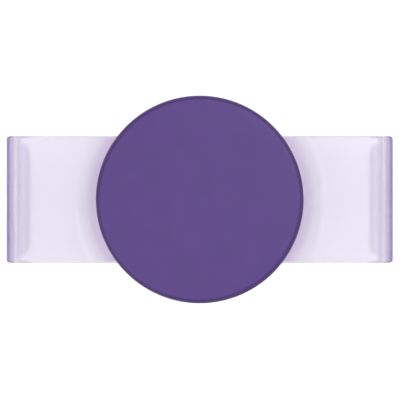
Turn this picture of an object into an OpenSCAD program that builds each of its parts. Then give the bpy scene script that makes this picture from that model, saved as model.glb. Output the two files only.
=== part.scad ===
// Expanding phone grip on a spring-loaded stretch band.
// Millimetres. The origin is the centre of the rear pad's face, which rests on the phone's back.
// +Z points out of the phone towards the disc, X runs along the band, Y along the phone.
// Drawn at rest: grip folded flat, both arms drawn in.

/* [Disc] */
// Diameter of the top disc
disc_d = 39.74; // [39.2:0.02:42]
// Thickness of the top disc
disc_t = 2.2; // [2:0.1:3]
// Radius of the rounded rim on the disc's face
disc_rim_r = 1.2; // [0.4:0.1:1.4]

/* [Band] */
// Overall length across both hooks, arms drawn in
band_len = 75.5; // [73:0.5:84]
// Width of the band, measured along the phone
band_w = 24.7; // [22:0.1:24.8]
// Thickness of the arm's sheet
band_t = 2.0; // [1.6:0.1:2]
// Thickness of the upright wall of a hook
wall_t = 1.5; // [1.3:0.1:2]
// Depth from the pad's face to the lip, the thickest phone that goes in
hook_depth = 10.4; // [8:0.1:14]
// How far the lip reaches over the edge of the phone
lip_reach = 2.4; // [1.5:0.1:4]
// How much the lip stops short of each edge of the band
lip_inset = 1.2; // [0.6:0.1:3]
// Height of an arm's swollen root above its sheet
root_h = 2.9; // [1:0.1:3.2]
// Outward travel of each arm
arm_travel = 5; // [3:0.1:5.4]

/* [Grip] */
// Diameter of the round base
base_d = 37.2; // [37:0.1:38.6]
// Width of the rear pad along the band
pad_w = 28; // [16:1:28]
// Height of the rear pad along the phone
pad_h = 20; // [12:1:21]
// Coil turns of each tension spring
coil_turns = 14; // [8:1:16]
// Wire diameter of the tension springs
wire_d = 0.22; // [0.18:0.01:0.3]

/* [Hidden] */
eps = 0.02;
$fn = 96;

// heights, from the phone outwards
plate_z0 = 0.4;
plate_z1 = 1.6;
pad_top = 0.9;
arm_z0 = 1.7;
arm_z1 = arm_z0 + band_t;
chan_z1 = 3.8;
floor_z1 = 5.2;
socket_z1 = 8.0;
hub_z0 = 5.6;
hub_z1 = 9.8;
core_z0 = 9.9;
core_z1 = 10.9;
disc_z1 = core_z0 + disc_t;

// channel, stops, posts and screws
base_r = base_d / 2;
side_gap = 0.2;
chan_half = band_w / 2 + side_gap;
stop_x = 9.0;
stop_r = 1.6;
post_x = 2.2;
post_r = 0.4;
peg_x = 11.0;
spring_y = 6.0;
spring_z = 2.7;
slot_half = 1.4;
screw_x = 7.5;
screw_y = 14.7;
screw_head_r = 1.4;
screw_r = 0.65;

// arms
rail_x0 = 1.0;
rail_x1 = 13.3;
tongue_x1 = 18.0;
tongue_half = 8.0;
tongue_t = 0.9;
out_x = band_len / 2;
top_bend_r = 4.0;
in_bend_r = 2.1;
low_bend_r = wall_t;
lip_t = 2.0;
lip_z1 = -hook_depth;
lip_z0 = lip_z1 - lip_t;
lip_x0 = out_x - wall_t - lip_reach;
lip_corner_r = 1.8;
root_r0 = base_r + 0.3;
root_r1 = root_r0 + 0.7;
root_r2 = root_r1 + 4.9;
root_side_r = 2.4;

// swivel and bellows radii
socket_r = 17.3;
socket_lip_r = 16.9;
ring_r = 17.2;
neck_r = 16.8;
wall1 = [14.9, 15.8];
wall2 = [11.9, 12.7];
wall3 = [8.9, 9.7];
hub_r = 6.9;
web_t = 0.45;

// twist lock
lock_post_r = 3.2;
lug_r = 5.2;
lug_half = 1.5;
lug_z0 = 7.4;
lug_z1 = 8.5;
cup_r = 5.8;
cup_z0 = 6.4;
flange_z0 = 8.6;
core_r = 13.95;

// ---- helpers ----

// upright tube between two radii and two heights
module ring(r_in, r_out, z0, z1) {
  rotate_extrude() translate([r_in, z0]) square([r_out - r_in, z1 - z0]);
}

// box from a low corner to a high corner
module block(lo, hi) {
  translate(lo) cube(hi - lo);
}

// flat box with upright corners of radius r, centred on the axis
module rounded_slab(w, h, r, z0, z1) {
  translate([0, 0, z0]) linear_extrude(z1 - z0) union() {
    square([w - 2 * r, h], center = true);
    square([w, h - 2 * r], center = true);
    for (sx = [-1, 1], sy = [-1, 1]) translate([sx * (w / 2 - r), sy * (h / 2 - r)]) circle(r);
  }
}

// upright slot of half width r, running along X between two end centres
module slot(x0, x1, y, r, z0, z1) {
  translate([0, y, z0]) linear_extrude(z1 - z0) union() {
    translate([x0, -r]) square([x1 - x0, 2 * r]);
    for (x = [x0, x1]) translate([x, 0]) circle(r);
  }
}

// thin cone from the inner face of one bellows wall to the foot of the next
module web(r_top, z_top, r_low, z_low) {
  h = web_t * norm([r_top - r_low, z_top - z_low]) / (r_top - r_low);
  rotate_extrude() polygon([[r_top, z_top], [r_top, z_top - h], [r_low, z_low], [r_low, z_low + h]]);
}

// ---- base ----

module base_housing() color([0.62, 0.56, 0.76]) {
  difference() {
    union() {
      // platform
      translate([0, 0, chan_z1]) cylinder(r = base_r, h = floor_z1 - chan_z1);
      // the two sides that close the channel
      difference() {
        translate([0, 0, plate_z1]) cylinder(r = base_r, h = chan_z1 - plate_z1 + eps);
        block([-base_r - 1, -chan_half, plate_z1 - 1], [base_r + 1, chan_half, chan_z1]);
      }
      // socket wall with its snap lip
      rotate_extrude() polygon([
        [socket_r, floor_z1 - eps], [base_r, floor_z1 - eps], [base_r, socket_z1],
        [socket_lip_r + 0.3, socket_z1], [socket_lip_r, socket_z1 - 0.3],
        [socket_lip_r, 7.2], [socket_r, 7.2]]);
      // travel stops for the rails
      for (s = [-1, 1]) translate([s * stop_x, 0, plate_z1])
        cylinder(r = stop_r, h = chan_z1 - plate_z1 + eps);
      // spring posts
      for (sx = [-1, 1], sy = [-1, 1]) translate([sx * post_x, sy * spring_y, arm_z0])
        cylinder(r = post_r, h = chan_z1 - arm_z0 + eps);
    }
    // pilot holes for the cover screws
    for (sx = [-1, 1], sy = [-1, 1]) translate([sx * screw_x, sy * screw_y, plate_z1 - eps])
      cylinder(r = screw_r + 0.05, h = 3.1);
  }
}

module back_plate() color([0.55, 0.49, 0.70]) {
  difference() {
    union() {
      translate([0, 0, plate_z0 + 0.4]) cylinder(r = base_r, h = plate_z1 - plate_z0 - 0.4);
      translate([0, 0, plate_z0]) cylinder(r1 = base_r - 0.4, r2 = base_r, h = 0.4);
    }
    rounded_slab(pad_w, pad_h, 3, plate_z0 - 1, pad_top);
    for (sx = [-1, 1], sy = [-1, 1]) translate([sx * screw_x, sy * screw_y, 0]) {
      cylinder(r = screw_r + 0.1, h = 4);
      translate([0, 0, plate_z0 - 1]) cylinder(r = screw_head_r + 0.1, h = 1.6);
    }
  }
}

module back_pad() color([0.84, 0.80, 0.92]) {
  difference() {
    rounded_slab(pad_w, pad_h, 3, 0, pad_top);
    // shallow grooves that let air out from under the pad
    for (x = [-8, 8]) block([x - 0.4, -pad_h / 2 - 1, -1], [x + 0.4, pad_h / 2 + 1, 0.25]);
  }
}

module cover_screws() color([0.75, 0.75, 0.78]) {
  for (sx = [-1, 1], sy = [-1, 1]) translate([sx * screw_x, sy * screw_y, 0]) difference() {
    union() {
      translate([0, 0, plate_z0 + 0.05]) cylinder(r1 = screw_head_r - 0.15, r2 = screw_head_r, h = 0.15);
      translate([0, 0, plate_z0 + 0.2]) cylinder(r = screw_head_r, h = 0.4);
      translate([0, 0, plate_z0 + 0.3]) cylinder(r = screw_r, h = 3.2);
      translate([0, 0, plate_z0 + 3.5]) cylinder(r1 = screw_r, r2 = 0.2, h = 0.6);
    }
    for (a = [0, 90]) rotate(a) block([-0.8, -0.17, 0], [0.8, 0.17, plate_z0 + 0.4]);
  }
}

// ---- tension springs ----

loop_r = 0.6;
coil_r = 0.8;
coil_x0 = post_x + loop_r;
coil_x1 = peg_x - loop_r;
half_turns = 2 * coil_turns + 1;
half_pitch = (coil_x1 - coil_x0) / half_turns;
half_tilt = atan(half_pitch / (2 * coil_r));

// bent wire about Z: bend radius r, from angle a0 through the angle turn
module wire(r, a0, turn) {
  rotate(a0) rotate_extrude(angle = turn) translate([r, 0]) circle(d = wire_d, $fn = 24);
}

// the same about X, with the angle counted from Y towards Z
module upright_wire(r, a0, turn) {
  rotate([90, 0, 90]) wire(r, a0, turn);
}

// short sleeve, a hair wider than the wire, that joins two bends
module sleeve(y) {
  translate([0, y, -0.04]) cylinder(d = wire_d + 0.02, h = 0.08, $fn = 24);
}

// loop round the post or peg, and the bends that lead from it to the coil
module spring_end() {
  wire(loop_r, 130, 230);
  translate([loop_r, 0, 0]) {
    rotate([90, 0, 0]) sleeve(0);
    translate([0, 0, coil_r / 2]) upright_wire(coil_r / 2, -90, 180);
    translate([0, 0, coil_r]) rotate([90, 0, 0]) sleeve(0);
    upright_wire(coil_r, 90, 90);
  }
}

// each half turn leans so that its ends meet its neighbours without a kink
module coil_spring() {
  translate([post_x, 0, 0]) spring_end();
  for (k = [0:half_turns - 1]) translate([coil_x0 + (k + 0.5) * half_pitch, 0, 0])
    rotate(k % 2 == 0 ? -half_tilt : half_tilt)
      upright_wire(norm([coil_r, half_pitch / 2]), k % 2 == 0 ? 180 : 0, 180);
  for (k = [0:half_turns]) translate([coil_x0 + k * half_pitch, 0, 0])
    sleeve(k % 2 == 0 ? -coil_r : coil_r);
  translate([peg_x, 0, 0]) rotate(180) spring_end();
}

module spring_pair() color([0.75, 0.75, 0.78]) {
  for (s = [-1, 1]) translate([0, s * spring_y, spring_z]) coil_spring();
}

module left_springs() rotate(180) spring_pair();
module right_springs() spring_pair();

// ---- arms, drawn for the right side ----

module rail() color([0.80, 0.76, 0.90]) {
  difference() {
    block([rail_x0, -band_w / 2, arm_z0], [rail_x1, band_w / 2, arm_z1]);
    // slot in which the travel stop runs
    slot(stop_x - arm_travel, stop_x, 0, stop_r + 0.05, arm_z0 - 1, arm_z1 + 1);
    // slots for the springs, open towards the middle
    for (s = [-1, 1]) block([rail_x0 - 1, s * spring_y - slot_half, arm_z0 - 1],
      [peg_x + 1, s * spring_y + slot_half, arm_z1 + 1]);
  }
  // spring pegs on their bridges
  for (s = [-1, 1]) {
    block([peg_x - 0.45, s * spring_y - slot_half - eps, arm_z0],
      [peg_x + 1 + eps, s * spring_y + slot_half + eps, arm_z0 + 0.4]);
    translate([peg_x, s * spring_y, arm_z0 + 0.2]) cylinder(r = post_r, h = band_t - 0.3);
  }
  // tongue that the soft arm is moulded on
  block([rail_x1 - eps, -tongue_half, (arm_z0 + arm_z1 - tongue_t) / 2],
    [tongue_x1, tongue_half, (arm_z0 + arm_z1 + tongue_t) / 2]);
}

// cross-section of an arm in X and Z: sheet, bend, upright wall
module arm_section() {
  difference() {
    union() {
      translate([rail_x1, lip_z0 + low_bend_r])
        square([out_x - rail_x1, arm_z1 - lip_z0 - low_bend_r - top_bend_r]);
      translate([rail_x1, arm_z1 - top_bend_r - eps])
        square([out_x - rail_x1 - top_bend_r, top_bend_r + eps]);
      translate([out_x - top_bend_r, arm_z1 - top_bend_r]) circle(top_bend_r);
      translate([rail_x1, lip_z0]) square([out_x - rail_x1 - low_bend_r, low_bend_r + eps]);
      translate([out_x - low_bend_r, lip_z0 + low_bend_r]) circle(low_bend_r);
    }
    // space for the phone
    translate([rail_x1 - 1, lip_z0 - 1])
      square([out_x - wall_t - rail_x1 + 1, arm_z0 - lip_z0 + 1 - in_bend_r]);
    translate([rail_x1 - 1, arm_z0 - in_bend_r - eps])
      square([out_x - wall_t - rail_x1 + 1 - in_bend_r, in_bend_r + eps]);
    translate([out_x - wall_t - in_bend_r, arm_z0 - in_bend_r]) circle(in_bend_r);
  }
}

// outline of the band across its width, tall enough for the root, with rounded upper corners
module root_outline() {
  half = band_w / 2;
  shoulder_z = arm_z1 + root_h - root_side_r;
  translate([-half, arm_z0]) square([band_w, shoulder_z - arm_z0]);
  translate([root_side_r - half, shoulder_z - eps]) square([band_w - 2 * root_side_r, root_side_r + eps]);
  for (s = [-1, 1]) translate([s * (half - root_side_r), shoulder_z]) circle(root_side_r);
}

// swelling that hugs the round base and runs out into the sheet
module arm_root() {
  steps = 12;
  intersection() {
    rotate_extrude() polygon(concat(
      [[root_r2, arm_z1 - eps], [root_r0, arm_z1 - eps], [root_r0, arm_z1 + root_h]],
      [for (k = [0:steps - 1]) let (s = k / steps)
        [root_r1 + (root_r2 - root_r1) * s, arm_z1 + root_h * (1 - s * s * (3 - 2 * s))]]));
    rotate([90, 0, 90]) linear_extrude(out_x) root_outline();
  }
}

module arm_band() color([0.88, 0.85, 0.95, 0.75]) {
  arm_root();
  difference() {
    rotate([90, 0, 0]) translate([0, 0, -band_w / 2]) linear_extrude(band_w) arm_section();
    block([rail_x1 - 1, -tongue_half, (arm_z0 + arm_z1 - tongue_t) / 2],
      [tongue_x1, tongue_half, (arm_z0 + arm_z1 + tongue_t) / 2]);
  }
  // return lip, shorter than the band and with round corners
  lip_half = band_w / 2 - lip_inset;
  difference() {
    translate([lip_x0, 0, lip_z0]) linear_extrude(lip_t) intersection() {
      union() {
        translate([lip_corner_r, -lip_half]) square([lip_reach, 2 * lip_half]);
        translate([0, -lip_half + lip_corner_r])
          square([lip_reach + lip_corner_r, 2 * (lip_half - lip_corner_r)]);
        for (s = [-1, 1]) translate([lip_corner_r, s * (lip_half - lip_corner_r)])
          circle(lip_corner_r);
      }
      translate([0, -lip_half]) square([lip_reach + eps, 2 * lip_half]);
    }
    // eased inner edge that guides the phone in
    rotate([90, 0, 0]) translate([0, 0, -band_w / 2]) linear_extrude(band_w)
      polygon([[lip_x0 - 1, lip_z1 + 1], [lip_x0 - 1, lip_z1 - 0.6], [lip_x0, lip_z1 - 0.6],
        [lip_x0 + 0.8, lip_z1], [lip_x0 + 0.8, lip_z1 + 1]]);
  }
}

module left_rail() mirror([1, 0, 0]) rail();
module right_rail() rail();
module left_arm_band() mirror([1, 0, 0]) arm_band();
module right_arm_band() arm_band();

// ---- swivel ring and bellows ----

module swivel_ring() color([0.62, 0.56, 0.76]) rotate_extrude() polygon([
  [wall1[1], floor_z1 + 0.1], [ring_r, floor_z1 + 0.1], [ring_r, 7.1],
  [neck_r, 7.1], [neck_r, 8.0], [neck_r - 0.2, 8.2], [wall1[1], 8.2]]);

module bellows_wall_1() color([0.70, 0.65, 0.83]) ring(wall1[0], wall1[1], 5.3, 8.9);
module bellows_web_1() color([0.70, 0.65, 0.83]) web(wall1[0], 8.9, wall2[1], 5.4);
module bellows_wall_2() color([0.70, 0.65, 0.83]) ring(wall2[0], wall2[1], 5.4, 9.1);
module bellows_web_2() color([0.70, 0.65, 0.83]) web(wall2[0], 9.1, wall3[1], 5.5);
module bellows_wall_3() color([0.70, 0.65, 0.83]) ring(wall3[0], wall3[1], 5.5, 9.3);
module bellows_web_3() color([0.70, 0.65, 0.83]) web(wall3[0], 9.3, hub_r, 5.6);

// ---- hub and top ----

module hub_insert() color([0.55, 0.49, 0.70]) {
  difference() {
    translate([0, 0, hub_z0]) cylinder(r = hub_r, h = hub_z1 - hub_z0);
    translate([0, 0, cup_z0]) cylinder(r = cup_r, h = flange_z0 - cup_z0);
    // keyhole: round hole with two notches
    translate([0, 0, cup_z0 + 1]) cylinder(r = lock_post_r + 0.1, h = hub_z1);
    intersection() {
      translate([0, 0, cup_z0 + 1]) cylinder(r = lug_r + 0.15, h = hub_z1);
      block([-lug_half - 0.2, -lug_r - 1, cup_z0 + 1], [lug_half + 0.2, lug_r + 1, hub_z1 + 1]);
    }
  }
  // stops for the lugs: locked at rest, free after a quarter turn
  for (a = [-68, 112]) rotate(a)
    rotate_extrude(angle = 46) translate([4.2, cup_z0 - eps])
      square([cup_r - 4.2 + 0.1, flange_z0 - cup_z0 + 2 * eps]);
}

module top_core() color([0.45, 0.38, 0.60]) {
  translate([0, 0, core_z0]) cylinder(r = core_r, h = core_z1 - core_z0);
  translate([0, 0, lug_z0]) cylinder(r = lock_post_r, h = core_z0 - lug_z0 + eps);
  intersection() {
    translate([0, 0, lug_z0]) cylinder(r = lug_r, h = lug_z1 - lug_z0);
    block([-lug_r - 1, -lug_half, lug_z0 - 1], [lug_r + 1, lug_half, lug_z1 + 1]);
  }
}

module top_cap() color([0.39, 0.31, 0.54]) {
  r = disc_d / 2;
  difference() {
    union() {
      translate([0, 0, core_z0 + 0.4]) cylinder(r = r, h = disc_t - 0.4 - disc_rim_r);
      translate([0, 0, core_z0]) cylinder(r1 = r - 0.4, r2 = r, h = 0.4);
      translate([0, 0, disc_z1 - disc_rim_r - eps]) cylinder(r = r - disc_rim_r, h = disc_rim_r + eps);
      rotate_extrude() translate([r - disc_rim_r, disc_z1 - disc_rim_r]) intersection() {
        circle(disc_rim_r);
        square(disc_rim_r);
      }
    }
    translate([0, 0, core_z0 - 1]) cylinder(r = core_r + 0.05, h = core_z1 - core_z0 + 1);
  }
}

base_housing();
back_plate();
back_pad();
cover_screws();
left_springs();
right_springs();
left_rail();
right_rail();
left_arm_band();
right_arm_band();
swivel_ring();
bellows_wall_1();
bellows_web_1();
bellows_wall_2();
bellows_web_2();
bellows_wall_3();
bellows_web_3();
hub_insert();
top_core();
top_cap();
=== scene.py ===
import math

import bmesh
import bpy
import numpy as np
from mathutils import Matrix, Vector


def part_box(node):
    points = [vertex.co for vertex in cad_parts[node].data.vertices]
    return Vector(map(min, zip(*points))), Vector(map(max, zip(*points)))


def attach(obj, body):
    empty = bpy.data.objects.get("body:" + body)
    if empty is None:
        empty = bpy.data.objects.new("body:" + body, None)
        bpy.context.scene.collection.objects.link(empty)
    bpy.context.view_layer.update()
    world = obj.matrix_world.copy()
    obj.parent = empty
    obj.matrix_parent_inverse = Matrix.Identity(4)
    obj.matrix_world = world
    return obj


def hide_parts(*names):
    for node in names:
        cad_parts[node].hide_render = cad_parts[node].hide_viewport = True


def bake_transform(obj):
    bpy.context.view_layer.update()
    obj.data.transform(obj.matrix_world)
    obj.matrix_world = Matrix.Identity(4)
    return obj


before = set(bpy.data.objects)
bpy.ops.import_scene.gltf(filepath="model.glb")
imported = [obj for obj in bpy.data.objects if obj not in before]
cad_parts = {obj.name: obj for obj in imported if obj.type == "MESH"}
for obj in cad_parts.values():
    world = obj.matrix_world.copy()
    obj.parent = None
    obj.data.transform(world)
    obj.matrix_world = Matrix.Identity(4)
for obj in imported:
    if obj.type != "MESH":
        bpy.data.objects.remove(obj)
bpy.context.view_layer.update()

MM = 0.001
WELD_M = 1e-8
SHARP_DEG = 38
scene = bpy.context.scene


# ---------------------------------------------------------------- where the CAD says things are

def low(node):
    """The lower corner of a CAD node's box, in mm."""
    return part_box(node)[0] / MM


def high(node):
    """The upper corner of a CAD node's box, in mm."""
    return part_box(node)[1] / MM


# ---------------------------------------------------------------- materials

def srgb(r, g, b):
    """A colour given as 0-255 screen values, as linear light."""
    def one(v):
        v /= 255
        return v / 12.92 if v <= 0.04045 else ((v + 0.055) / 1.055) ** 2.4
    return one(r), one(g), one(b)


def shade(colour, factor):
    return tuple(c * factor for c in colour)


class Nodes:
    """A new node material and short ways to fill it."""

    RAMP_ENDS = (0.3, 0.7)

    def __init__(self, name):
        self.mat = bpy.data.materials.new(name)
        self.mat.use_nodes = True
        self.tree = self.mat.node_tree
        self.shader = self.tree.nodes["Principled BSDF"]
        self.out = self.tree.nodes["Material Output"]
        self.place = self.add("ShaderNodeTexCoord").outputs["Object"]

    def add(self, kind, **values):
        node = self.tree.nodes.new(kind)
        for key, value in values.items():
            setattr(node, key, value)
        return node

    def link(self, source, socket):
        self.tree.links.new(source, socket)

    def set(self, **values):
        """Plain values on the shader's sockets; an underscore stands for a space."""
        for key, value in values.items():
            self.shader.inputs[key.replace("_", " ")].default_value = value

    def feed(self, **sources):
        """Node outputs linked to the shader's sockets; an underscore stands for a space."""
        for key, source in sources.items():
            self.link(source, self.shader.inputs[key.replace("_", " ")])

    def noise(self, size_mm, detail, squeeze=None):
        """Noise with features of about that size. squeeze makes them shorter along each axis."""
        node = self.add("ShaderNodeTexNoise")
        node.inputs["Scale"].default_value = 1 / (size_mm * MM)
        node.inputs["Detail"].default_value = detail
        place = self.place
        if squeeze:
            mapping = self.add("ShaderNodeMapping")
            mapping.inputs["Scale"].default_value = squeeze
            self.link(self.place, mapping.inputs["Vector"])
            place = mapping.outputs["Vector"]
        self.link(place, node.inputs["Vector"])
        return node.outputs["Fac"]

    def ramp(self, factor, low_value, high_value):
        """From one colour or value to another as the factor rises."""
        node = self.add("ShaderNodeValToRGB")
        colours = []
        for value in (low_value, high_value):
            parts = value if isinstance(value, tuple) else (value, value, value)
            colours.append((*parts, 1))
        for element, colour, position in zip(node.color_ramp.elements, colours, self.RAMP_ENDS):
            element.color = colour
            element.position = position
        self.link(factor, node.inputs["Fac"])
        return node.outputs["Color"]

    def mix(self, under, over, factor):
        """One colour where the factor is 0, another where it is 1. over may be plain values."""
        node = self.add("ShaderNodeMix", data_type="RGBA")
        self.link(under, node.inputs["A"])
        if isinstance(over, tuple):
            node.inputs["B"].default_value = (*over, 1)
        else:
            self.link(over, node.inputs["B"])
        self.link(factor, node.inputs["Factor"])
        return node.outputs["Result"]

    def bump(self, *layers):
        """Layers of (height, depth in mm), added one on the other."""
        normal = None
        for height, depth_mm in layers:
            node = self.add("ShaderNodeBump")
            node.inputs["Strength"].default_value = 1.0
            node.inputs["Distance"].default_value = depth_mm * MM
            self.link(height, node.inputs["Height"])
            if normal:
                self.link(normal, node.inputs["Normal"])
            normal = node.outputs["Normal"]
        self.feed(Normal=normal)

    def span(self, value, zero_at, one_at):
        """0 at one value and 1 at another, eased between them and level beyond."""
        node = self.add("ShaderNodeMapRange", interpolation_type="SMOOTHSTEP")
        self.link(value, node.inputs["Value"])
        node.inputs["From Min"].default_value = zero_at
        node.inputs["From Max"].default_value = one_at
        return node.outputs["Result"]

    def product(self, a, b):
        node = self.add("ShaderNodeMath", operation="MULTIPLY")
        self.link(a, node.inputs[0])
        self.link(b, node.inputs[1])
        return node.outputs[0]

    def size_of(self, vector, axis):
        """The absolute value of one part of a vector."""
        split = self.add("ShaderNodeSeparateXYZ")
        self.link(vector, split.inputs[0])
        node = self.add("ShaderNodeMath", operation="ABSOLUTE")
        self.link(split.outputs[axis], node.inputs[0])
        return node.outputs[0]

    def level(self):
        """1 where the surface lies flat and 0 where it stands upright."""
        return self.size_of(self.add("ShaderNodeTexCoord").outputs["Normal"], "Z")

    def radius(self):
        """Distance from the upright axis."""
        flat = self.add("ShaderNodeVectorMath", operation="MULTIPLY")
        self.link(self.place, flat.inputs[0])
        flat.inputs[1].default_value = (1, 1, 0)
        node = self.add("ShaderNodeVectorMath", operation="LENGTH")
        self.link(flat.outputs[0], node.inputs[0])
        return node.outputs["Value"]


def moulded_grain(m):
    """The fine sparked grain and the slight waviness of moulded hard plastic."""
    m.bump((m.noise(0.12, 2.0), 0.004), (m.noise(9.0, 1.0), 0.008))


def hard_plastic(name, colour, rough, specular=0.5, rim_shade=None):
    """Moulded plastic with faint mottling in colour and gloss. The last argument is painted shade:
    how much of the colour is left where the surface turns away from flat, darkening a rounded rim as
    if it lay in shade."""
    m = Nodes(name)
    mottle = m.noise(6.0, 2.0)
    base = m.ramp(mottle, shade(colour, 0.96), shade(colour, 1.04))
    # painted shade: where the surface turns away from flat, the colour is darkened as if in shade
    if rim_shade:
        shaded_rim = m.ramp(mottle, shade(colour, 0.96 * rim_shade), shade(colour, 1.04 * rim_shade))
        base = m.mix(shaded_rim, base, m.span(m.level(), 0.88, 0.985))
    m.feed(Base_Color=base, Roughness=m.ramp(m.noise(1.6, 4.0), rough - 0.04, rough + 0.05))
    moulded_grain(m)
    m.set(IOR=1.46, Specular_IOR_Level=specular)
    return m.mat


def soft_rubber(name, colour, rough):
    """Matt elastomer: finer grain, a little light let in, and a soft sheen at grazing angles."""
    m = Nodes(name)
    m.feed(Base_Color=m.ramp(m.noise(3.5, 3.0), shade(colour, 0.94), shade(colour, 1.05)),
           Roughness=m.ramp(m.noise(0.9, 4.0), rough - 0.06, rough + 0.06))
    m.bump((m.noise(0.09, 2.0), 0.005), (m.noise(2.5, 2.0), 0.01))
    m.set(IOR=1.43, Sheen_Weight=0.15, Sheen_Roughness=0.5)
    m.set(Subsurface_Weight=0.12, Subsurface_Scale=0.8 * MM)
    return m.mat


def clear_band(name):
    """Frosted translucent elastomer: a faint lilac sheet with painted shade: a painted shadow round
    the disc, shade painted in the lips under the sheet, and on the end bends where they turn away
    from the eye."""
    # painted shade: the colours of the disc's painted shadow, the lips' painted shade and the end
    # bends' painted shade
    disc_shadow_tint, lip_shade_tint, bend_shade_tint = (0.72, 0.65, 0.78), (0.74, 0.69, 0.83), (0.10, 0.05, 0.40)
    m = Nodes(name)
    x_size = m.size_of(m.place, "X")
    z_size = m.size_of(m.place, "Z")

    # painted shadow: the sheet darkened in a ring just round the disc, where the disc's shadow falls
    in_disc_shadow = m.span(m.radius(), 23.0 * MM, 19.5 * MM)
    # painted shade: the lips under the sheet coloured darker, as they lie in shade below it
    lip_shade_mask = m.product(m.span(x_size, 36.3 * MM, 35.8 * MM), m.span(z_size, 9.6 * MM, 10.4 * MM))
    outermost = m.span(x_size, 36.2 * MM, 36.6 * MM)
    # painted shade: the outermost end bends darkened towards violet where they turn away from the
    # eye, partly the deeper colour of the thick wall seen edge-on
    turned_away = m.span(m.add("ShaderNodeLayerWeight").outputs["Facing"], 0.23, 0.66)
    bend_shade_mask = m.product(m.product(outermost, turned_away), m.span(m.level(), 0.05, 0.35))

    sheet = m.ramp(m.noise(5.0, 2.0), (0.844, 0.842, 0.902), (0.864, 0.862, 0.922))
    with_disc_shadow = m.mix(sheet, disc_shadow_tint, in_disc_shadow)
    with_lip_shade = m.mix(with_disc_shadow, lip_shade_tint, lip_shade_mask)
    m.feed(Base_Color=m.mix(with_lip_shade, bend_shade_tint, bend_shade_mask),
           Roughness=m.ramp(m.noise(0.8, 3.0), 0.18, 0.25))
    m.bump((m.noise(0.15, 2.0), 0.003), (m.noise(4.0, 1.0), 0.02))
    m.set(IOR=1.38, Transmission_Weight=0.74)

    volume = m.add("ShaderNodeVolumeAbsorption")
    volume.inputs["Color"].default_value = (0.70, 0.01, 1.0, 1)
    volume.inputs["Density"].default_value = 30
    m.link(volume.outputs["Volume"], m.out.inputs["Volume"])
    return m.mat


def frosted_hard(name, colour):
    """Hard translucent plastic, for the inserts that show through the arms."""
    m = Nodes(name)
    m.feed(Base_Color=m.ramp(m.noise(6.0, 2.0), shade(colour, 0.96), shade(colour, 1.03)),
           Roughness=m.ramp(m.noise(1.6, 4.0), 0.30, 0.40))
    moulded_grain(m)
    m.set(IOR=1.3, Transmission_Weight=0.8)
    return m.mat


def steel(name):
    """Steel wire and screws: fine lines and a little unevenness in gloss."""
    m = Nodes(name)
    m.feed(Base_Color=m.ramp(m.noise(0.5, 3.0), (0.56, 0.56, 0.58), (0.68, 0.68, 0.70)),
           Roughness=m.ramp(m.noise(0.3, 4.0, squeeze=(1, 1, 6)), 0.22, 0.36))
    m.bump((m.noise(0.06, 2.0, squeeze=(1, 1, 8)), 0.002))
    m.set(Metallic=1.0)
    return m.mat


# the disc's rounded rim carries painted shade, its colour cut to 0.72 where it turns from flat
DISC = hard_plastic("disc_violet", (0.0816, 0.0393, 0.199), rough=0.45, specular=0.35, rim_shade=0.72)
CORE = hard_plastic("core_violet", srgb(92, 74, 128), rough=0.5)
RIGID = hard_plastic("housing_lilac", srgb(158, 143, 196), rough=0.4)
RAIL = frosted_hard("rail_frost", (0.90, 0.87, 0.95))
BELLOWS = soft_rubber("bellows_lilac", srgb(172, 158, 208), rough=0.6)
PAD = soft_rubber("pad_lilac", srgb(190, 178, 218), rough=0.68)
BAND = clear_band("band_frost")
STEEL = steel("steel")


# ---------------------------------------------------------------- outlines and solids, in mm

def arc(cx, cy, radius, start_deg, end_deg, steps):
    """Points on an arc, both ends included."""
    angles = [math.radians(start_deg + (end_deg - start_deg) * k / steps)
              for k in range(steps + 1)]
    return [(cx + radius * math.cos(a), cy + radius * math.sin(a)) for a in angles]


def rounded(points, steps):
    """A closed outline in which a corner (x, y, radius) is an arc and one (x, y) stays sharp."""
    outline = []
    for i, point in enumerate(points):
        corner = Vector(point[:2])
        radius = point[2] if len(point) > 2 else 0
        back = Vector(points[i - 1][:2]) - corner
        ahead = Vector(points[(i + 1) % len(points)][:2]) - corner
        half = back.angle(ahead) / 2
        if radius <= 0 or half > math.radians(89):
            outline.append((corner.x, corner.y))
            continue
        reach = min(radius / math.tan(half), back.length * 0.499, ahead.length * 0.499)
        radius = reach * math.tan(half)
        back.normalize()
        ahead.normalize()
        centre = corner + (back + ahead).normalized() * (radius / math.sin(half))
        start = corner + back * reach - centre
        end = corner + ahead * reach - centre
        turn = start.angle_signed(end)
        for k in range(steps + 1):
            spoke = start.copy()
            spoke.rotate(Matrix.Rotation(-turn * k / steps, 2))
            outline.append((centre.x + spoke.x, centre.y + spoke.y))
    return outline


def box_outline(half_x, half_y, radius, steps):
    """A rectangle round the origin, with round corners."""
    corners = ((half_x, -half_y), (half_x, half_y), (-half_x, half_y), (-half_x, -half_y))
    return rounded([(*corner, radius) for corner in corners], steps)


def ring_faces(rings, count, around=False):
    """Quads between rings of count vertices each. around joins the last ring to the first."""
    faces = []
    for k in range(rings if around else rings - 1):
        here = k * count
        there = (k + 1) % rings * count
        for i in range(count):
            j = (i + 1) % count
            faces.append((here + i, here + j, there + j, there + i))
    return faces


def end_faces(rings, count):
    """The two flat ends of a stack of rings."""
    return [tuple(range(count - 1, -1, -1)), tuple(range((rings - 1) * count, rings * count))]


def drop_repeats(vertices, faces):
    """Makes one vertex of each place that several share, as points on a lathe's axis do."""
    places = {}
    first = [places.setdefault(tuple(round(c, 5) for c in v), i) for i, v in enumerate(vertices)]
    kept = []
    for face in faces:
        corners = []
        for i in face:
            if first[i] not in corners:
                corners.append(first[i])
        if len(corners) > 2:
            kept.append(tuple(corners))
    used = sorted({i for face in kept for i in face})
    new = {i: k for k, i in enumerate(used)}
    return [vertices[i] for i in used], [tuple(new[i] for i in face) for face in kept]


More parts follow.
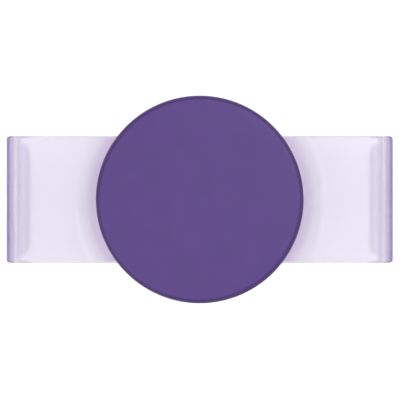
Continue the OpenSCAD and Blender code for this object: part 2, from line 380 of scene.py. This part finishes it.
def lathe(profile, steps, axis=(0, 0)):
    """A closed profile of (r, z) turned about an upright axis."""
    vertices = []
    for k in range(steps):
        a = 2 * math.pi * k / steps
        for r, z in profile:
            vertices.append((axis[0] + r * math.cos(a), axis[1] + r * math.sin(a), z))
    return drop_repeats(vertices, ring_faces(steps, len(profile), around=True))


def prism(outline, z0, z1, edge=0.0, steps=1):
    """An upright prism of a closed, counter-clockwise outline. edge rounds its top and bottom."""
    points = [Vector(p) for p in outline]
    count = len(points)
    inward = []
    for i, point in enumerate(points):
        before = point - points[i - 1]
        after = points[(i + 1) % count] - point
        before = before.normalized() if before.length > 1e-9 else after.normalized()
        after = after.normalized() if after.length > 1e-9 else before
        way = Vector((-before.y, before.x)) + Vector((-after.y, after.x))
        if way.length > 1e-9:
            way = way.normalized() / max(0.35, math.cos(before.angle(after) / 2))
        else:
            way = Vector((-before.y, before.x))
        inward.append(way)
    levels = []
    for k in range(steps + 1):
        a = math.pi / 2 * k / steps
        levels.append((edge * (1 - math.sin(a)), z0 + edge * (1 - math.cos(a))))
    levels += [(inset, z0 + z1 - z) for inset, z in reversed(levels)]
    vertices = [(p.x + way.x * inset, p.y + way.y * inset, z)
                for inset, z in levels for p, way in zip(points, inward)]
    return vertices, end_faces(len(levels), count) + ring_faces(len(levels), count)


def wire(path, radius, sides):
    """A round wire along a path, its section carried along without twisting."""
    points = np.array(path, float)
    ways = np.gradient(points, axis=0)
    ways /= np.linalg.norm(ways, axis=1)[:, None]
    across = np.array([0.0, 0.0, 1.0])
    vertices = []
    for point, way in zip(points, ways):
        across = across - way * (across @ way)
        across /= np.linalg.norm(across)
        other = np.cross(way, across)
        for k in range(sides):
            a = 2 * math.pi * k / sides
            vertices.append(tuple(point + radius * (math.cos(a) * across + math.sin(a) * other)))
    return vertices, end_faces(len(points), sides) + ring_faces(len(points), sides)


def join(*solids):
    """Several (vertices, faces) as one."""
    vertices, faces = [], []
    for solid_vertices, solid_faces in solids:
        base = len(vertices)
        vertices += solid_vertices
        faces += [tuple(i + base for i in face) for face in solid_faces]
    return vertices, faces


# ---------------------------------------------------------------- Blender objects from solids

def new_mesh(name, solid, weld):
    """A mesh with its faces turned outwards."""
    vertices, faces = solid
    mesh = bpy.data.meshes.new(name)
    mesh.from_pydata([Vector(v) * MM for v in vertices], [], faces)
    work = bmesh.new()
    work.from_mesh(mesh)
    if weld:
        bmesh.ops.remove_doubles(work, verts=work.verts, dist=WELD_M)
    bmesh.ops.recalc_face_normals(work, faces=work.faces)
    work.to_mesh(mesh)
    work.free()
    return mesh


def new_object(name, data):
    obj = bpy.data.objects.new(name, data)
    scene.collection.objects.link(obj)
    return obj


def finish_mesh(obj, material, sharp_deg=SHARP_DEG):
    """One material, and smooth shading with a crease where faces meet at more than sharp_deg."""
    mesh = obj.data
    mesh.materials.clear()
    mesh.materials.append(material)
    mesh.polygons.foreach_set("use_smooth", [True] * len(mesh.polygons))
    mesh.set_sharp_from_angle(angle=math.radians(sharp_deg))
    mesh.update()


def build(name, solid, material, body=None, sharp_deg=SHARP_DEG, blend=None):
    """A piece that rides one body. With blend it rides none: its place is baked into its mesh, and
    what blend holds is not used.
    """
    obj = new_object(name, new_mesh(name, solid, weld=True))
    finish_mesh(obj, material, sharp_deg)
    if blend:
        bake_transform(obj)
    elif body:
        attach(obj, body)
    return obj


def cut(obj, solid):
    """Takes a closed shape out of a piece."""
    cutter = new_object("cutter", new_mesh("cutter", solid, weld=False))
    modifier = obj.modifiers.new("cut", "BOOLEAN")
    modifier.object = cutter
    modifier.operation = "DIFFERENCE"
    modifier.solver = "EXACT"
    bpy.context.view_layer.update()
    depsgraph = bpy.context.evaluated_depsgraph_get()
    done = bpy.data.meshes.new_from_object(obj.evaluated_get(depsgraph))
    spare = (obj.data, cutter.data)
    obj.modifiers.clear()
    obj.data = done
    bpy.data.objects.remove(cutter)
    for mesh in spare:
        bpy.data.meshes.remove(mesh)


# ---------------------------------------------------------------- disc

disc_r = high("top_cap").x
disc_z0, disc_z1 = low("top_cap").z, high("top_cap").z
core_r = high("top_core").x
core_z1 = high("top_core").z
recess_r = core_r + 0.25

cap_profile = [(0, core_z1), (0, disc_z1)] + rounded([
    (disc_r * 0.5, disc_z1), (disc_r, disc_z1, 1.2), (disc_r, disc_z0, 0.5),
    (recess_r, disc_z0, 0.12), (recess_r, core_z1, 0.05), (core_r * 0.5, core_z1)], 8)
cap = build("disc_cap", lathe(cap_profile, 256), DISC, "top")
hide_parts("top_cap")


# ---------------------------------------------------------------- core, with the lock's post and lugs

post_r, lug_r, lug_half = 3.2, 5.2, 1.5
lug_z0 = low("top_core").z
lug_z1 = lug_z0 + 1.1
plate_top = core_z1 - 0.02
plate_under = disc_z0 + 0.03
groove_top = disc_z0 + 0.35

plate_profile = [(0, lug_z0), (0, plate_top)] + rounded([
    (core_r * 0.6, plate_top), (core_r, plate_top, 0.1), (core_r, plate_under, 0.15),
    (12.6, plate_under, 0.1), (12.4, groove_top, 0.1), (8.4, groove_top, 0.1),
    (8.2, plate_under, 0.1), (post_r, plate_under, 0.1), (post_r, lug_z0, 0.2)], 4)[:-1]
plate_profile.append((post_r - 0.3, lug_z0))
lugs = prism(box_outline(lug_r, lug_half, 0.3, 4), lug_z0, lug_z1, edge=0.12, steps=4)
core = build("lock_core", join(lathe(plate_profile, 128), lugs), CORE, "top")
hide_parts("top_core")


# ---------------------------------------------------------------- hub, with the lock's keyhole

hub_r = high("hub_insert").x
hub_z0, hub_z1 = low("hub_insert").z, high("hub_insert").z
cup_r, cup_z0, cup_z1 = 5.8, hub_z0 + 0.8, hub_z1 - 1.2
keyhole_r = post_r + 0.1
floor_hole_r = 1.2

hub_profile = rounded([
    (hub_r, hub_z0, 0.25), (hub_r, hub_z1, 0.3), (keyhole_r, hub_z1, 0.15),
    (keyhole_r, cup_z1, 0.1), (cup_r, cup_z1, 0.1), (cup_r, cup_z0, 0.2),
    (floor_hole_r, cup_z0, 0.1), (floor_hole_r, hub_z0, 0.1)], 4)
hub = build("lock_hub", lathe(hub_profile, 128), RIGID, "hub")
notch = box_outline(lug_half + 0.2, lug_r + 0.15, 0.3, 3)
cut(hub, prism(notch, cup_z1 - 0.5, hub_z1 + 1))
finish_mesh(hub, RIGID)
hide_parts("hub_insert")


# ---------------------------------------------------------------- bellows

FOLD_BODIES = ("swivel", "fold_a", "fold_b", "hub")
WEB_T = 0.45
WEB_STEPS = 24

walls = []
for i in (1, 2, 3):
    wall = {"out": high(f"bellows_wall_{i}").x, "in": high(f"bellows_web_{i}").x,
            "z0": low(f"bellows_wall_{i}").z, "z1": high(f"bellows_wall_{i}").z}
    walls.append(wall)
    ring_profile = rounded([
        (wall["out"], wall["z0"], 0.3), (wall["out"], wall["z1"], 0.42),
        (wall["in"], wall["z1"], 0.42), (wall["in"], wall["z0"], 0.3)], 5)
    ring = build(f"bellows_ring_{i}", lathe(ring_profile, 160), BELLOWS, FOLD_BODIES[i - 1])
    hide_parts(f"bellows_wall_{i}")

for i, wall in enumerate(walls):
    last = i == len(walls) - 1
    foot_r = hub_r if last else walls[i + 1]["out"]
    foot_z = hub_z0 if last else walls[i + 1]["z0"]
    # the middle of the cone's sheet, from inside this wall's rim down to the next wall's foot
    start_r, start_z = wall["in"] + 0.15, wall["z1"] - 0.35
    end_r, end_z = foot_r - 0.15, foot_z + 0.35
    line = []
    for k in range(WEB_STEPS + 1):
        s = k / WEB_STEPS
        bowed = s - 0.06 * math.sin(2 * math.pi * s)
        line.append(Vector((start_r + (end_r - start_r) * s, start_z + (end_z - start_z) * bowed)))
    upper_side, lower_side = [], []
    for k, point in enumerate(line):
        way = line[min(k + 1, WEB_STEPS)] - line[max(k - 1, 0)]
        half_sheet = Vector((-way.y, way.x)).normalized() * WEB_T / 2
        upper_side.append(tuple(point + half_sheet))
        lower_side.append(tuple(point - half_sheet))
    cone = lathe(upper_side + lower_side[::-1], 160)
    stretch = ((0, 0, (wall["z1"] - 0.7) * MM), (0, 0, (foot_z + 0.6) * MM))
    web = build(f"bellows_cone_{i + 1}", cone, BELLOWS,
                blend=(FOLD_BODIES[i], FOLD_BODIES[i + 1], *stretch))
    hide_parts(f"bellows_web_{i + 1}")


# ---------------------------------------------------------------- swivel ring

ring_r, ring_z0, ring_z1 = high("swivel_ring").x, low("swivel_ring").z, high("swivel_ring").z
ring_in = walls[0]["out"]
flange_z1 = ring_z0 + 1.8
neck_r = ring_r - 0.4

swivel_profile = rounded([
    (ring_in, ring_z0, 0.1), (ring_r, ring_z0, 0.15), (ring_r, flange_z1, 0.15),
    (neck_r, flange_z1, 0.05), (neck_r, ring_z1, 0.25), (ring_in, ring_z1, 0.2)], 4)
swivel = build("swivel_collar", lathe(swivel_profile, 192), RIGID, "swivel")
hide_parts("swivel_ring")


# ---------------------------------------------------------------- base housing

STOP_X, STOP_R = 9.0, 1.6
POST_X, SPRING_Y = 2.2, 6.0

base_r = high("base_housing").x
plate_z0, plate_z1 = low("back_plate").z, high("back_plate").z
arm_z0, arm_z1 = low("left_rail").z, high("left_rail").z
band_half = high("left_arm_band").y
chan_half = band_half + 0.2
chan_z1 = arm_z1 + 0.1
socket_r = ring_r + 0.1
socket_z0, socket_z1 = ring_z0 - 0.1, high("base_housing").z
snap_r = ring_r - 0.3
snap_z0 = ring_z0 + 1.9

upper = lathe([(0, chan_z1), (0, socket_z0)] + rounded([
    (8, socket_z0), (socket_r, socket_z0, 0.15), (socket_r, snap_z0, 0.1), (snap_r, snap_z0, 0.1),
    (snap_r, socket_z1, 0.35), (base_r, socket_z1, 0.6), (base_r, chan_z1), (8, chan_z1)], 5), 240)

# the two cheeks beside the channel that the arms run in
cheek_deg = math.degrees(math.asin(chan_half / base_r)) + 0.6
cheek_x = math.sqrt(base_r ** 2 - chan_half ** 2) - 0.35
cheeks = []
for turn, sign in ((0, 1), (180, -1)):
    outline = arc(0, 0, base_r, cheek_deg + turn, 180 - cheek_deg + turn, 72)
    outline += [(-sign * cheek_x, sign * chan_half), (sign * cheek_x, sign * chan_half)]
    cheeks.append(prism(outline, plate_z1, chan_z1))

stop_profile = [(0, plate_z1), (STOP_R, plate_z1), (STOP_R, chan_z1), (0, chan_z1)]
stops = [lathe(stop_profile, 40, (x, 0)) for x in (-STOP_X, STOP_X)]
post_profile = [(0, arm_z0), (0.3, arm_z0), (0.4, arm_z0 + 0.1), (0.4, chan_z1), (0, chan_z1)]
posts = [lathe(post_profile, 20, (x, y))
         for x in (-POST_X, POST_X) for y in (-SPRING_Y, SPRING_Y)]
housing = build("base_housing_shell", join(upper, *cheeks, *stops, *posts), RIGID, "base")
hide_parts("base_housing")


# ---------------------------------------------------------------- back plate and pad

SCREW_X, SCREW_Y = 7.5, 14.7
HEAD_R, HEAD_DEEP, SHANK_R = 1.5, 0.6, 0.75
PAD_R, PAD_GAP = 3.0, 0.08
GROOVE_X = 8

pad_x, pad_y = high("back_pad").x, high("back_pad").y
pad_z0, pad_z1 = low("back_pad").z, high("back_pad").z

back_profile = [(0, plate_z0), (0, plate_z1)] + rounded([
    (8, plate_z1), (base_r, plate_z1, 0.12), (base_r, plate_z0, 0.5), (8, plate_z0)], 5)
back = build("back_cover", lathe(back_profile, 240), RIGID)
pad_seat = box_outline(pad_x + PAD_GAP, pad_y + PAD_GAP, PAD_R + PAD_GAP, 8)
cut(back, prism(pad_seat, plate_z0 - 1, pad_z1))
hole_profile = [
    (0, plate_z0 - 1), (HEAD_R, plate_z0 - 1), (HEAD_R, plate_z0 + HEAD_DEEP),
    (SHANK_R, plate_z0 + HEAD_DEEP), (SHANK_R, plate_z1 + 1), (0, plate_z1 + 1)]
for x in (-SCREW_X, SCREW_X):
    for y in (-SCREW_Y, SCREW_Y):
        cut(back, lathe(hole_profile, 48, (x, y)))
finish_mesh(back, RIGID)
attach(back, "base")
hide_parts("back_plate")

pad_outline = box_outline(pad_x, pad_y, PAD_R, 10)
pad = build("back_pad_soft", prism(pad_outline, pad_z0, pad_z1, edge=0.3, steps=5), PAD)
groove = rounded([(-0.4, -1), (0.4, -1), (0.4, 0.25, 0.15), (-0.4, 0.25, 0.15)], 4)
for x in (-GROOVE_X, GROOVE_X):
    bar = [(x + dx, y, z) for y in (-pad_y - 1, pad_y + 1) for dx, z in groove]
    cut(pad, (bar, end_faces(2, len(groove)) + ring_faces(2, len(groove))))
finish_mesh(pad, PAD)
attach(pad, "base")
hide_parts("back_pad")


# ---------------------------------------------------------------- arms

ARM_SHARP_DEG = 60
SHEET_STEPS, BEND_STEPS, WALL_STEPS, TURN_IN_STEPS, FLAT_STEPS, TIP_STEPS = 40, 18, 14, 14, 3, 16
ACROSS_STEPS, CORNER_STEPS = 48, 8
EDGE_R = 0.55

out_x = high("right_arm_band").x
in_x = low("right_arm_band").x
wall_t = 1.5
wall_x = out_x - wall_t
bend_out_r, bend_in_r = 4.0, 2.1

lip_z0 = low("right_arm_band").z
lip_z1 = lip_z0 + 2.0
lip_x = wall_x - 2.4
lip_half = band_half - 1.2
turn_out_r, turn_in_r = wall_t, 0.5
tip_r, corner_r = 0.8, 1.8

root_h = high("right_arm_band").z - arm_z1
root_r0 = base_r + 0.3
root_r1 = root_r0 + 0.7
root_r2 = root_r1 + 4.9
root_edge = 0.5
root_side_r = 2.4


def ease(s):
    """0 to 1, level at both ends."""
    return s * s * (3 - 2 * s)


def round_off(radius, from_end):
    """How much a rounded end takes off at a distance from its tip."""
    if from_end >= radius:
        return 0.0
    return radius - math.sqrt(max(radius ** 2 - (radius - from_end) ** 2, 0))


def root_rise(x, y):
    """How far the swollen root stands above the sheet at a point."""
    s = min(max((math.hypot(x, y) - root_r1) / (root_r2 - root_r1), 0), 1)
    return min(root_h * (1 - ease(s)), root_h - round_off(root_side_r, band_half - abs(y)))


def section(half, thick):
    """The arm's section, with round corners: (along the width, through the thickness)."""
    r = min(EDGE_R, thick * 0.49)
    points = []
    for side_y, side_v, start_deg in ((1, -1, -90), (1, 1, 0), (-1, 1, 90), (-1, -1, 180)):
        end = side_y * (half - r)
        points += arc(end, side_v * (thick / 2 - r), r, start_deg, start_deg + 90, CORNER_STEPS)
        if side_y == side_v:
            points += [(end - 2 * end * k / ACROSS_STEPS, side_v * thick / 2)
                       for k in range(1, ACROSS_STEPS)]
    return points


def arm_stations():
    """(outer point, inner point, half width) along an arm, from the housing to the lip's tip."""
    rows = []
    bend_x = out_x - bend_out_r
    for k in range(SHEET_STEPS + 1):
        x = in_x + (bend_x - in_x) * k / SHEET_STEPS
        rows.append(((x, arm_z1), (x, arm_z0), band_half))
    # the bend down
    for k in range(1, BEND_STEPS + 1):
        a = math.pi / 2 * k / BEND_STEPS
        dx, dz = math.sin(a), math.cos(a) - 1
        rows.append(((bend_x + bend_out_r * dx, arm_z1 + bend_out_r * dz),
                     (bend_x + bend_in_r * dx, arm_z0 + bend_in_r * dz), band_half))
    # the upright wall
    out_z1, out_z0 = arm_z1 - bend_out_r, lip_z0 + turn_out_r
    in_z1, in_z0 = arm_z0 - bend_in_r, lip_z1 + turn_in_r
    for k in range(1, WALL_STEPS + 1):
        s = k / WALL_STEPS
        rows.append(((out_x, out_z1 + (out_z0 - out_z1) * s),
                     (wall_x, in_z1 + (in_z0 - in_z1) * s), band_half))
    # the turn in to the lip, which is narrower
    for k in range(1, TURN_IN_STEPS + 1):
        s = k / TURN_IN_STEPS
        dx, dz = math.cos(math.pi / 2 * s) - 1, -math.sin(math.pi / 2 * s)
        half = band_half + (lip_half - band_half) * ease(s)
        rows.append(((out_x + turn_out_r * dx, out_z0 + turn_out_r * dz),
                     (wall_x + turn_in_r * dx, in_z0 + turn_in_r * dz), half))
    # the lip, with round corners and thinner at its tip
    start = wall_x - turn_in_r
    xs = [start + (lip_x + corner_r - start) * k / FLAT_STEPS for k in range(1, FLAT_STEPS + 1)]
    xs += [lip_x + corner_r * (1 - math.sin(math.pi / 2 * k / TIP_STEPS))
           for k in range(1, TIP_STEPS + 1)]
    for x in xs:
        from_tip = max(x - lip_x, 0.0)
        thin = round_off(tip_r, from_tip)
        half = lip_half - round_off(corner_r, from_tip)
        rows.append(((x, lip_z0 + thin), (x, lip_z1 - thin), half))
    return rows


def arm_solid(sign):
    """The right arm for 1, and its mirror image for -1."""
    vertices = []
    rows = arm_stations()
    for outer, inner, half in rows:
        middle = (Vector(outer) + Vector(inner)) / 2
        through = Vector(outer) - Vector(inner)
        way = through.normalized()
        for y, v in section(half, through.length):
            p = middle + way * v
            rise = root_rise(p.x, y) if v > 0 else 0
            vertices.append((sign * p.x, y, p.y + rise))
    count = len(vertices) // len(rows)
    return vertices, ring_faces(len(rows), count) + end_faces(len(rows), count)


# the round space that the housing needs in the root
root_top = arm_z1 + root_h + 0.003
clearance = [(0, arm_z1), (root_r0, arm_z1)]
clearance += arc(root_r0 + root_edge, root_top - root_edge, root_edge, 180, 90, 6)
clearance += [(root_r0 + root_edge, root_top + 1), (0, root_top + 1)]

for side, sign in (("left", -1), ("right", 1)):
    arm = build(f"{side}_arm_soft", arm_solid(sign), BAND, f"{side}_arm", ARM_SHARP_DEG)
    cut(arm, lathe(clearance, 240))
    finish_mesh(arm, BAND, ARM_SHARP_DEG)
    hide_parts(f"{side}_arm_band")


# ---------------------------------------------------------------- springs

PEG_X, SPRING_Z = 11.0, 2.7
LOOP_R, COIL_R, WIRE_R = 0.6, 0.8, 0.11
TURNS, TURN_STEPS = 14.5, 24
coil_x0, coil_x1 = POST_X + LOOP_R, PEG_X - LOOP_R


def spring_path():
    """The wire's middle: a hook round the housing's post, the coil, and a hook round the peg."""
    near = []
    for k in range(24):
        a = math.radians(-230 + 230 * k / 24)
        near.append((POST_X + LOOP_R * math.cos(a), LOOP_R * math.sin(a), 0.0))
    count = int(TURNS * TURN_STEPS)
    coil = []
    for i in range(count + 1):
        a = 2 * math.pi * i / TURN_STEPS
        r = COIL_R * min(1, i / 12, (count - i) / 12)
        x = coil_x0 + (coil_x1 - coil_x0) * i / count
        coil.append((x, r * math.cos(a), r * math.sin(a)))
    far = [(coil_x0 + coil_x1 - x, -y, z) for x, y, z in reversed(near)]
    return near + coil + far


for side, sign in (("left", -1), ("right", 1)):
    wires = []
    for y0 in (-SPRING_Y, SPRING_Y):
        path = [(sign * x, sign * y + y0, z + SPRING_Z) for x, y, z in spring_path()]
        wires.append(wire(path, WIRE_R, 8))
    spring = build(f"{side}_spring_pair", join(*wires), STEEL, blend=(
        "base", f"{side}_arm", (sign * coil_x0 * MM, 0, 0), (sign * coil_x1 * MM, 0, 0)))
    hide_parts(f"{side}_springs")


# ---------------------------------------------------------------- CAD nodes that stay

for name, material in (("left_rail", RAIL), ("right_rail", RAIL), ("cover_screws", STEEL)):
    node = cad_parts[name]
    node.data.materials.clear()
    node.data.materials.append(material)


# ---------------------------------------------------------------- stage, light and camera

WHITE = (1, 1, 1, 1)
FLOOR_HALF_M = 3.0


def stage_floor():
    """A wide pale floor under the tips of the hooks."""
    mesh = bpy.data.meshes.new("floor")
    corners = ((-1, -1), (1, -1), (1, 1), (-1, 1))
    places = [(x * FLOOR_HALF_M, y * FLOOR_HALF_M, lip_z0 * MM) for x, y in corners]
    mesh.from_pydata(places, [], [(0, 1, 2, 3)])
    floor = new_object("floor", mesh)
    m = Nodes("floor_white")
    m.feed(Base_Color=m.ramp(m.noise(40.0, 2.0), (0.21, 0.21, 0.21), (0.23, 0.23, 0.23)))
    m.set(Roughness=0.9, Emission_Color=WHITE, Emission_Strength=0.9)
    mesh.materials.append(m.mat)


def area(name, place, size, watts):
    """A square light that faces the origin."""
    light = bpy.data.lights.new(name, "AREA")
    light.shape = "SQUARE"
    light.size = size
    light.energy = watts
    obj = new_object(name, light)
    obj.location = place
    obj.rotation_euler = (-Vector(place)).to_track_quat("-Z", "Y").to_euler()


stage_floor()

world = bpy.data.worlds.new("studio")
scene.world = world
world.use_nodes = True
world.node_tree.nodes["Background"].inputs["Color"].default_value = WHITE
world.node_tree.nodes["Background"].inputs["Strength"].default_value = 0.6

area("key", (0.35, 0.25, 0.9), 0.7, 4.2)
area("fill", (-0.45, -0.3, 0.8), 0.7, 2.9)

camera_data = bpy.data.cameras.new("camera")
camera = new_object("camera", camera_data)
camera.location = (0.00005, -0.0001, 0.530)
camera.rotation_euler = (0, 0, 0)
camera_data.sensor_width = 36
camera_data.lens = 244.2
camera_data.clip_end = 20
scene.camera = camera

scene.view_settings.view_transform = "Standard"
